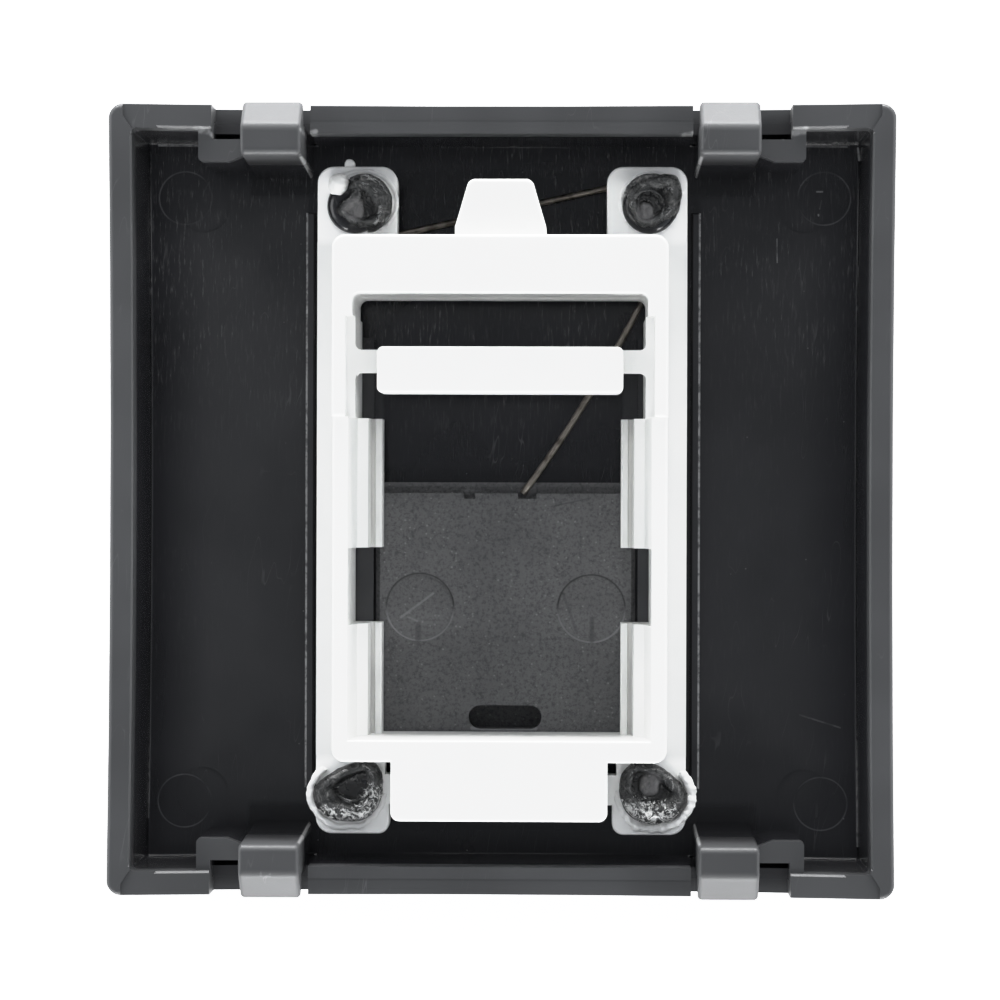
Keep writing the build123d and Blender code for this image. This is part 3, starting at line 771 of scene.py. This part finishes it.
melted = {
    # painted shade: near black in the hollows of the melted heads
    "hollowShadeColour": (0.006, 0.006, 0.006, 1),
    "colour": (0.030, 0.031, 0.031, 1),
    "raisedZ": (6.68, 6.98),
    "swirlScale": 1.6,
    "ashColour": (0.20, 0.195, 0.19, 1),
    "ashMask": (0.54, 0.70),
    "ashStrength": 0.8,
    # painted reflection: paler tops on the domes
    "domeSheenColour": (0.095, 0.093, 0.094, 1),
    "domes": [((-8.52, 16.90, 0), 0.66), ((8.34, 16.76, 0), 0.60), ((8.66, -16.46, 0), 0.72)],
    "domeSoft": 0.16,
    "domeZ": (6.66, 6.82),
    # painted highlight on the crests of the fold rings
    "crestHighlightColour": (0.42, 0.42, 0.42, 1),
    "folds": [
        # middle of the rings, rings to the millimetre
        ((-8.5, 17.0, 0), 2.1),
        ((8.35, 16.8, 0), 2.2),
        ((-8.6, -16.3, 0), 1.9),
        ((8.66, -16.5, 0), 2.3),
    ],
    "foldSwirl": 1.1,
    "foldInner": (0.75, 0.95),
    "foldOuter": (3.2, 2.6),
    "crest": (0.72, 1.0),
    "crestStrength": 0.7,
    "crestBrokenScale": 0.9,
    "crestBroken": (0.46, 0.62),
    "foldDepth": 1.4,
    "whiteColour": (0.66, 0.66, 0.65, 1),
    "marbleZones": [
        ((-7.3, -17.9, 6.4), (0.35, 0.9, 1.5)),
        ((-9.1, -18.55, 6.4), (1.5, 0.3, 1.5)),
        ((8.30, -18.30, 6.4), (1.6, 0.5, 1.5)),
    ],
    "marbleSoft": 0.5,
    "marbleRagged": (1.6, 2.4, 0),
    "marbleEdge": (0.1, 0.6),
    "veinScale": 2.2,
    "veinMask": (0.48, 0.54),
    "roughness": (0.18, 0.42),
    "wrinklePerMm": 5.0,
    "wrinkleDepth": 0.00003,
}


def makeMeltedPlastic(look):
    material, tree, shader = newMaterial("meltedPlastic")
    place = millimetres(tree)
    flat = flatten(tree, place)
    split = tree.nodes.new("ShaderNodeSeparateXYZ")
    feed(tree, split.inputs[0], place)
    height = split.outputs[2]
    swirl = noise(tree, place, look["swirlScale"], detail=4.0, roughness=0.65, distortion=1.8)
    raised = spread(tree, height, *look["raisedZ"])
    # painted shade in the hollows below the raised parts
    colour = blendColours(tree, raised, look["hollowShadeColour"], look["colour"])
    ash = times(tree, spread(tree, swirl, *look["ashMask"]), times(tree, raised, look["ashStrength"]))
    colour = blendColours(tree, ash, colour, look["ashColour"])
    # painted reflection on the tops of the domes
    for centre, radius in look["domes"]:
        dome = useGroup(tree, discGroup, Place=flat, Centre=centre, Radius=radius, Soft=look["domeSoft"])
        dome = times(tree, dome, spread(tree, height, *look["domeZ"]))
        colour = blendColours(tree, dome, colour, look["domeSheenColour"])

    # rings of folds round each head, with painted highlights on their crests
    folds = 0.0
    for centre, bands in look["folds"]:
        far = vectorValue(tree, "LENGTH", vectorCalc(tree, "SUBTRACT", flat, centre))
        ripple = calc(tree, "ADD", far, times(tree, swirl, look["foldSwirl"]))
        wave = calc(tree, "SINE", times(tree, ripple, 2 * math.pi * bands))
        near = times(tree, spread(tree, far, *look["foldInner"]), spread(tree, far, *look["foldOuter"]))
        folds = calc(tree, "MAXIMUM", folds, times(tree, wave, near))
    broken = spread(tree, noise(tree, place, look["crestBrokenScale"]), *look["crestBroken"])
    crest = times(tree, spread(tree, folds, *look["crest"]), times(tree, broken, raised))
    crest = times(tree, crest, look["crestStrength"])
    colour = blendColours(tree, crest, colour, look["crestHighlightColour"])

    # white plastic drawn into the lower heads
    pushed = vectorCalc(tree, "MULTIPLY", swirl, look["marbleRagged"])
    ragged = vectorCalc(tree, "ADD", place, pushed)
    ragged = vectorCalc(tree, "SUBTRACT", ragged, [part / 2 for part in look["marbleRagged"]])
    marbled = 0.0
    for centre, half in look["marbleZones"]:
        part = useGroup(
            tree, regionGroup, Place=ragged, Centre=centre, Half=half, Soft=look["marbleSoft"]
        )
        marbled = calc(tree, "MAXIMUM", marbled, part)
    veins = noise(tree, place, look["veinScale"], detail=4.0, roughness=0.65, distortion=2.2)
    veins = spread(tree, veins, *look["veinMask"])
    veins = times(tree, veins, spread(tree, marbled, *look["marbleEdge"]))
    colour = blendColours(tree, veins, colour, look["whiteColour"])
    feed(tree, shader.inputs["Base Color"], colour)
    feed(tree, shader.inputs["Roughness"], spread(tree, swirl, 0.3, 0.7, *look["roughness"]))
    wrinkles = noise(tree, place, look["wrinklePerMm"], detail=3.0, roughness=0.6, distortion=1.5)
    wrinkles = calc(tree, "ADD", wrinkles, times(tree, folds, look["foldDepth"]))
    feed(tree, shader.inputs["Normal"], bump(tree, wrinkles, look["wrinkleDepth"]))
    return material


graphitePlastic = makeGraphitePlastic(graphite)
meltedPlastic = makeMeltedPlastic(melted)
whitePlastic = makeWhitePlastic(white)
shutterPlastic = makeShutterPlastic(shutterLook)
springSteel = makeSpringSteel(wire)
dress(nodes["faceplate"], graphitePlastic)
dress(nodes["keystone_holder"], whitePlastic)
dress(nodes["shutter"], shutterPlastic)
dress(nodes["shutter_spring"], springSteel)
report("materials")

# Modelling helpers, all in edit mode on a piece whose place is in its mesh
def bake():
    bpy.ops.object.transform_apply(location=True, rotation=True, scale=True)


def edit(piece):
    clearSelection()
    piece.select_set(True)
    bpy.context.view_layer.objects.active = piece
    bpy.ops.object.mode_set(mode="EDIT")


def pick(piece, kind, test):
    bpy.ops.mesh.select_mode(type=kind)
    bpy.ops.mesh.select_all(action="DESELECT")
    shape = bmesh.from_edit_mesh(piece.data)
    if kind == "FACE":
        for face in shape.faces:
            face.select_set(test(face.calc_center_median() / mm, face.normal))
    else:
        for vertex in shape.verts:
            vertex.select_set(test(vertex.co / mm, vertex.normal))
        shape.select_flush(True)
    bmesh.update_edit_mesh(piece.data)


def pull(piece, spot, shift, reach):
    bpy.ops.mesh.select_mode(type="VERT")
    bpy.ops.mesh.select_all(action="DESELECT")
    shape = bmesh.from_edit_mesh(piece.data)
    nearest = min(shape.verts, key=lambda vertex: (vertex.co / mm - Vector(spot)).length)
    nearest.select_set(True)
    bmesh.update_edit_mesh(piece.data)
    bpy.ops.transform.translate(
        value=[part * mm for part in shift],
        use_proportional_edit=True,
        proportional_edit_falloff="SMOOTH",
        proportional_size=reach * mm,
    )


def addModifier(piece, kind, **settings):
    modifier = piece.modifiers.new(kind.title(), kind)
    for label, value in settings.items():
        setattr(modifier, label, value)
    clearSelection()
    piece.select_set(True)
    bpy.context.view_layer.objects.active = piece
    bpy.ops.object.modifier_apply(modifier=modifier.name)


def addBall(place, radii):
    clearSelection()
    bpy.ops.mesh.primitive_uv_sphere_add(
        segments=32, ring_count=16, radius=mm, location=Vector(place) * mm, scale=radii
    )
    bake()
    return bpy.context.object


def cutAway(piece, place, normal):
    edit(piece)
    bpy.ops.mesh.select_all(action="SELECT")
    bpy.ops.mesh.bisect(plane_co=Vector(place) * mm, plane_no=normal, use_fill=True, clear_outer=True)
    bpy.ops.object.mode_set(mode="OBJECT")


def addClouds(piece, name, size, strength, midLevel):
    texture = bpy.data.textures.new(name, "CLOUDS")
    texture.noise_scale = size * mm
    addModifier(piece, "DISPLACE", texture=texture, strength=strength * mm, mid_level=midLevel)


def merge(name, parts):
    if len(parts) == 1:
        return parts[0]
    clearSelection()
    for part in parts:
        part.select_set(True)
    bpy.context.view_layer.objects.active = parts[0]
    bpy.ops.object.join()
    parts[0].name = name
    return parts[0]


def settle(piece, name, material):
    clearSelection()
    piece.select_set(True)
    bpy.context.view_layer.objects.active = piece
    bpy.ops.object.mode_set(mode="EDIT")
    bpy.ops.mesh.select_all(action="SELECT")
    bpy.ops.mesh.remove_doubles(threshold=0.000002)
    bpy.ops.mesh.normals_make_consistent(inside=False)
    bpy.ops.object.mode_set(mode="OBJECT")
    bake()
    bpy.ops.object.shade_smooth()
    piece.name = name
    piece.data.name = name
    dress(piece, material)


# Melted heads of the four stakes, with the white plastic they pushed aside
melts = {
    "base": 5.9,
    "wall": 0.62,  # height of the straight rim above the base
    "startRadius": 1.8,
    "levels": 3,
    "foldSegments": (64, 10),
    "foldOverlap": 0.3,
    "voxel": 0.05,
    "lumps": {"size": 0.5, "strength": 0.09, "midLevel": 0.5},
    "wrinkleSize": 0.9,
    "wrinkleTurbulence": 7,
    "wrinkleStrength": 0.06,
    "smoothing": 3,
    "heads": [
        {
            "name": "meltTopLeft",
            "outline": [
                (-8.30, 19.02), (-8.85, 18.80), (-8.78, 18.25), (-8.72, 17.80), (-10.12, 17.05),
                (-9.20, 16.22), (-8.32, 15.80), (-7.60, 15.75), (-6.80, 15.98), (-6.28, 16.75),
                (-6.50, 17.80), (-7.30, 18.72),
            ],
            # inset, height, shift of all that lies within
            "rings": [
                (0.14, 6.95, 0, 0), (0.20, 7.16, 0, 0), (0.24, 7.10, -0.06, -0.06),
                (0.22, 6.70, -0.10, -0.12), (0.16, 6.62, 0, 0),
            ],
            "domes": [
                ((-8.55, 16.88, 6.32), (0.70, 0.86, 0.66)),
                ((-8.05, 18.50, 6.55), (0.60, 0.40, 0.55)),
            ],
            # middle, radius, thickness, tilt about X and Y, way the arc faces
            "folds": [
                ((-8.05, 17.25, 6.62), 1.62, 0.15, (10, -14), 20),
                ((-8.00, 17.20, 6.70), 1.30, 0.12, (8, -16), 20),
            ],
            # place, shift, reach
            "pulls": [((-6.9, 16.4, 7.0), (0, 0, 0.12), 0.5), ((-9.6, 17.05, 6.9), (0, 0, -0.15), 0.4)],
        },
        {
            "name": "meltTopRight",
            "outline": [
                (7.17, 18.35), (8.0, 18.80), (8.9, 18.98), (9.95, 19.12), (10.50, 18.60), (10.46, 17.2),
                (10.1, 16.55), (9.45, 16.2), (8.85, 15.85), (8.25, 15.75), (7.62, 16.1), (7.30, 17.1),
            ],
            "rings": [
                (0.14, 6.95, 0, 0), (0.20, 7.14, 0, 0), (0.22, 7.06, -0.08, -0.08),
                (0.20, 6.70, -0.10, -0.14), (0.16, 6.62, 0, 0),
            ],
            "domes": [((8.34, 16.76, 6.30), (0.64, 0.80, 0.64))],
            "folds": [
                ((8.65, 17.30, 6.66), 1.62, 0.13, (8, 12), 60),
                ((8.55, 17.15, 6.74), 1.30, 0.12, (8, 14), 60),
                ((8.45, 17.00, 6.78), 1.02, 0.10, (10, 14), 60),
            ],
            "pulls": [((10.1, 18.6, 7.0), (0, 0, 0.1), 0.5), ((9.6, 16.5, 6.9), (0, 0, -0.12), 0.4)],
        },
        {
            "name": "meltBottomLeft",
            "outline": [
                (-10.95, -16.7), (-10.1, -16.0), (-9.3, -15.5), (-8.2, -15.15), (-7.4, -15.1),
                (-6.85, -15.7), (-6.75, -16.9), (-7.0, -18.0), (-8.0, -18.75), (-9.5, -18.85),
                (-10.7, -18.2), (-11.0, -17.4),
            ],
            "rings": [
                (0.14, 6.85, 0, 0), (0.24, 7.08, 0, 0), (0.30, 7.02, 0.05, 0.12),
                (0.26, 6.70, 0.12, 0.22), (0.22, 6.62, 0, 0.05),
            ],
            "domes": [
                ((-10.0, -17.2, 6.45), (0.60, 0.70, 0.55)),
                ((-7.9, -18.0, 6.55), (0.45, 0.40, 0.50)),
            ],
            "folds": [
                ((-8.75, -16.85, 6.62), 1.66, 0.14, (-8, -10), -40),
                ((-8.65, -16.65, 6.70), 1.34, 0.12, (-10, -10), -40),
                ((-8.60, -16.45, 6.74), 1.05, 0.10, (-10, -8), -40),
            ],
            "pulls": [((-7.4, -17.6, 7.0), (0, 0, 0.12), 0.4), ((-9.2, -18.3, 6.9), (0, 0, 0.15), 0.4)],
        },
        {
            "name": "meltBottomRight",
            "outline": [
                (7.0, -15.6), (7.8, -15.1), (9.0, -15.15), (10.0, -15.85), (10.75, -16.6), (11.0, -17.3),
                (10.6, -18.2), (9.6, -18.75), (8.3, -18.95), (7.3, -18.2), (6.75, -17.0),
            ],
            "rings": [
                (0.14, 6.85, 0, 0), (0.26, 7.08, 0, 0), (0.30, 7.00, -0.08, 0.10),
                (0.24, 6.70, -0.10, 0.22), (0.20, 6.62, 0, 0.04),
            ],
            "domes": [
                ((8.66, -16.46, 6.34), (0.78, 0.82, 0.68)),
                ((10.1, -17.45, 6.35), (0.62, 0.62, 0.66)),
            ],
            "folds": [
                ((8.80, -16.80, 6.60), 1.78, 0.12, (-6, 8), -150),
                ((8.75, -16.70, 6.66), 1.50, 0.11, (-8, 9), -150),
                ((8.70, -16.60, 6.72), 1.22, 0.10, (-8, 9), -150),
            ],
            "pulls": [((7.7, -18.0, 6.9), (0, 0, 0.18), 0.4), ((8.8, -18.4, 6.9), (0, 0, 0.15), 0.4)],
        },
    ],
}


def buildMelt(head, common):
    points = [Vector((x, y, common["base"])) for x, y in head["outline"]]
    middle = sum(points, Vector()) / len(points)

    def bearing(place):
        return math.atan2(place.x - middle.x, place.y - middle.y)

    clearSelection()
    bpy.ops.mesh.primitive_circle_add(
        vertices=len(points), radius=common["startRadius"] * mm, fill_type="NGON", location=middle * mm
    )
    bake()
    puddle = bpy.context.object
    edit(puddle)
    shape = bmesh.from_edit_mesh(puddle.data)
    corners = sorted((vertex.co / mm for vertex in shape.verts), key=bearing)
    for corner, target in zip(corners, sorted(points, key=bearing)):
        pick(puddle, "VERT", lambda place, normal: (place - corner).length < 0.001)
        bpy.ops.transform.translate(value=(target - corner) * mm)
    pick(puddle, "FACE", lambda place, normal: True)
    bpy.ops.mesh.extrude_region_move(TRANSFORM_OT_translate={"value": (0, 0, common["wall"] * mm)})
    level = common["base"] + common["wall"]
    for inwards, height, shiftX, shiftY in head["rings"]:
        bpy.ops.mesh.inset(thickness=inwards * mm)
        bpy.ops.transform.translate(value=(shiftX * mm, shiftY * mm, (height - level) * mm))
        level = height
    bpy.ops.mesh.poke()
    bpy.ops.object.mode_set(mode="OBJECT")
    addModifier(puddle, "SUBSURF", levels=common["levels"], render_levels=common["levels"])
    edit(puddle)
    for spot, shift, reach in head["pulls"]:
        pull(puddle, spot, shift, reach)
    bpy.ops.object.mode_set(mode="OBJECT")

    parts = [puddle] + [addBall(place, radii) for place, radii in head["domes"]]
    for place, radius, thickness, tilt, facing in head["folds"]:
        clearSelection()
        bpy.ops.mesh.primitive_torus_add(
            major_segments=common["foldSegments"][0],
            minor_segments=common["foldSegments"][1],
            major_radius=radius * mm,
            minor_radius=thickness * mm,
            location=Vector(place) * mm,
            rotation=[math.radians(angle) for angle in tilt] + [0],
        )
        bake()
        arc = bpy.context.object
        kept = Vector((math.cos(math.radians(facing)), math.sin(math.radians(facing)), 0))
        cutAway(arc, Vector(place) - kept * common["foldOverlap"], -kept)
        parts.append(arc)
    piece = merge(head["name"], parts)
    addModifier(piece, "REMESH", mode="VOXEL", voxel_size=common["voxel"] * mm)
    addClouds(piece, head["name"] + "Lumps", **common["lumps"])
    wrinkles = bpy.data.textures.new(head["name"] + "Wrinkles", "MARBLE")
    wrinkles.noise_scale = common["wrinkleSize"] * mm
    wrinkles.turbulence = common["wrinkleTurbulence"]
    addModifier(
        piece, "DISPLACE", texture=wrinkles, strength=common["wrinkleStrength"] * mm, mid_level=0.5
    )
    addModifier(piece, "SMOOTH", factor=0.5, iterations=common["smoothing"])
    settle(piece, head["name"], meltedPlastic)
    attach(piece, "plate")


flashes = {
    "segments": (96, 14),
    "voxel": 0.06,
    "raggedSize": 0.38,
    "raggedShare": 1.1,
    "raggedMiddle": 0.45,
    "smoothing": 2,
    # a cut is a plane, given by a place and a normal, and a lump is a ball, by a place and radii
    "rims": [
        {
            "name": "flashBottomLeft",
            "centre": (-8.98, -17.15, 6.02),
            "radii": (2.12, 1.92),
            "thick": 0.21,
            "tilt": (2, 3),
            "cut": ((-9.2, -16.1, 6), (0.45, 1.0, 0)),
            "pulls": [
                ((-11.1, -17.2, 6.1), (-0.05, 0, 0.15), 0.6),
                ((-8.2, -19.0, 6.1), (0, -0.1, 0.05), 0.7),
            ],
            "lumps": [],
        },
        {
            "name": "flashBottomRight",
            "centre": (9.0, -17.15, 6.02),
            "radii": (2.12, 1.95),
            "thick": 0.28,
            "tilt": (2, -3),
            "cut": ((9.4, -16.15, 6), (-0.3, 1.0, 0)),
            "pulls": [
                ((11.1, -17.3, 6.1), (0.05, 0.1, 0.18), 0.7),
                ((8.0, -19.0, 6.1), (0, -0.1, 0.05), 0.7),
            ],
            "lumps": [],
        },
        {
            "name": "flashTopLeft",
            "centre": (-8.15, 17.35, 5.98),
            "radii": (1.98, 1.86),
            "thick": 0.13,
            "tilt": (0, 0),
            "cut": ((-8.3, 17.2, 6), (-0.8, -1.0, 0)),
            "pulls": [],
            "lumps": [((-9.52, 18.35, 6.1), (0.64, 0.70, 0.98))],
        },
        {
            "name": "flashTopRight",
            "centre": (8.75, 17.35, 5.98),
            "radii": (1.85, 1.75),
            "thick": 0.14,
            "tilt": (0, 0),
            "cut": ((8.9, 17.1, 6), (0.5, -1.0, 0)),
            "pulls": [],
            "lumps": [],
        },
    ],
}


def buildFlash(rim, common):
    clearSelection()
    bpy.ops.mesh.primitive_torus_add(
        major_segments=common["segments"][0],
        minor_segments=common["segments"][1],
        major_radius=mm,
        minor_radius=rim["thick"] * mm / rim["radii"][0],
        location=Vector(rim["centre"]) * mm,
        rotation=[math.radians(angle) for angle in rim["tilt"]] + [0],
    )
    piece = bpy.context.object
    piece.scale = (rim["radii"][0], rim["radii"][1], rim["radii"][0])
    bake()
    cutAway(piece, *rim["cut"])
    edit(piece)
    for spot, shift, reach in rim["pulls"]:
        pull(piece, spot, shift, reach)
    bpy.ops.object.mode_set(mode="OBJECT")
    piece = merge(rim["name"], [piece] + [addBall(place, radii) for place, radii in rim["lumps"]])
    addModifier(piece, "REMESH", mode="VOXEL", voxel_size=common["voxel"] * mm)
    raggedness = rim["thick"] * common["raggedShare"]
    addClouds(piece, rim["name"] + "Ragged", common["raggedSize"], raggedness, common["raggedMiddle"])
    addModifier(piece, "SMOOTH", factor=0.5, iterations=common["smoothing"])
    settle(piece, rim["name"], whitePlastic)
    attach(piece, "plate")


for head in melts["heads"]:
    buildMelt(head, melts)
report("melted stakes")
for rim in flashes["rims"]:
    buildFlash(rim, flashes)
report("white flash")

# Gate left on the end of the upper left ear
nub = {
    "place": (-8.93, 19.6, 5.62),
    "radius": 0.32,
    "depth": 0.62,
    "edge": 0.1,
    "intoEar": 0.1,
    "pull": ((-9.2, 19.8, 5.9), (0.04, 0.05, 0.02), 0.3),  # place, shift, reach
}


def buildNub(setup):
    clearSelection()
    bpy.ops.mesh.primitive_cylinder_add(
        vertices=32,
        radius=setup["radius"] * mm,
        depth=setup["depth"] * mm,
        location=Vector(setup["place"]) * mm,
    )
    piece = bpy.context.object
    bake()
    edit(piece)
    pick(piece, "FACE", lambda place, normal: abs(normal.z) > 0.9)
    bpy.ops.mesh.bevel(offset=setup["edge"] * mm, segments=3, affect="EDGES")
    pick(piece, "VERT", lambda place, normal: place.y < setup["place"][1] - setup["intoEar"])
    bpy.ops.transform.translate(value=(0, -setup["intoEar"] * mm, 0))
    pull(piece, *setup["pull"])
    bpy.ops.object.mode_set(mode="OBJECT")
    addModifier(piece, "SUBSURF", levels=1, render_levels=1)
    settle(piece, "gateNub", whitePlastic)
    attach(piece, "plate")


buildNub(nub)
report("gate nub")

# Torsion spring: coil on the upper right post, long leg to the notch in the shutter
spring = {
    "post": (8.6, 17.15),
    "coilRadius": 1.95,
    "wireRadius": 0.2,
    "wireSides": 16,
    "lowZ": 2.22,
    "rise": 1.0,
    "startAngle": 102.66,
    "endAngle": -23.5,
    "turns": 2,
    "coilSteps": 120,
    "shortLeg": 17.78,
    "legSteps": 6,
    "tip": (1.195, 0.4),
    "arcSteps": 24,
    "bendFrom": (1.2, 14.8, 3.22),  # two places given for the long leg
    "bendTo": (1.2, 0.42, 3.22),
}


def buildSpring(setup):
    start = math.radians(setup["startAngle"])
    end = math.radians(setup["endAngle"])
    sweep = start - end + 2 * math.pi * setup["turns"]
    topZ = setup["lowZ"] + setup["rise"]

    def pickEnd(middle, way):  # the ring of vertices round one end of the wire
        pick(
            piece,
            "VERT",
            lambda place, normal: (
                abs((place - middle).dot(way)) < 0.005
                and (place - middle).length < setup["wireRadius"] * 1.1
            ),
        )

    clearSelection()
    bpy.ops.mesh.primitive_circle_add(
        vertices=setup["wireSides"],
        radius=setup["wireRadius"] * mm,
        location=Vector((math.cos(start), math.sin(start), 0)) * setup["coilRadius"] * mm,
        rotation=(math.pi / 2, 0, start),
    )
    piece = bpy.context.object
    bake()
    addModifier(
        piece,
        "SCREW",
        angle=-sweep,
        screw_offset=setup["rise"] * mm,
        steps=setup["coilSteps"],
        render_steps=setup["coilSteps"],
    )
    piece.location = (setup["post"][0] * mm, setup["post"][1] * mm, setup["lowZ"] * mm)
    clearSelection()
    piece.select_set(True)
    bake()
    # short leg, straight on from the foot of the coil
    post = Vector((*setup["post"], 0))
    foot = post + Vector((math.cos(start), math.sin(start), 0)) * setup["coilRadius"]
    foot.z = setup["lowZ"]
    away = Vector((-math.sin(start), math.cos(start), 0))
    edit(piece)
    pickEnd(foot, away)
    for step in range(setup["legSteps"]):
        bpy.ops.mesh.extrude_region_move(
            TRANSFORM_OT_translate={"value": away * setup["shortLeg"] / setup["legSteps"] * mm}
        )
    bpy.ops.mesh.edge_face_add()
    # long leg, an arc that leaves the coil without a kink and ends at the tip
    top = post + Vector((math.cos(end), math.sin(end), 0)) * setup["coilRadius"]
    top.z = topZ
    leaving = Vector((math.sin(end), -math.cos(end), 0))
    chord = Vector((*setup["tip"], topZ)) - top
    turn = leaving.to_2d().angle_signed(chord.to_2d())
    arcRadius = chord.length / 2 / math.sin(turn)
    centre = top + Vector((leaving.y, -leaving.x, 0)) * arcRadius
    pickEnd(top, leaving)
    bpy.ops.mesh.spin(
        steps=setup["arcSteps"], angle=2 * turn, center=centre * mm, axis=(0, 0, 1), use_auto_merge=False
    )
    bpy.ops.mesh.edge_face_add()
    bpy.ops.object.mode_set(mode="OBJECT")
    settle(piece, "springWire", springSteel)
    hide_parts("shutter_spring")
    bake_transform(piece)


buildSpring(spring)
report("spring")

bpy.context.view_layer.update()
report("size written")
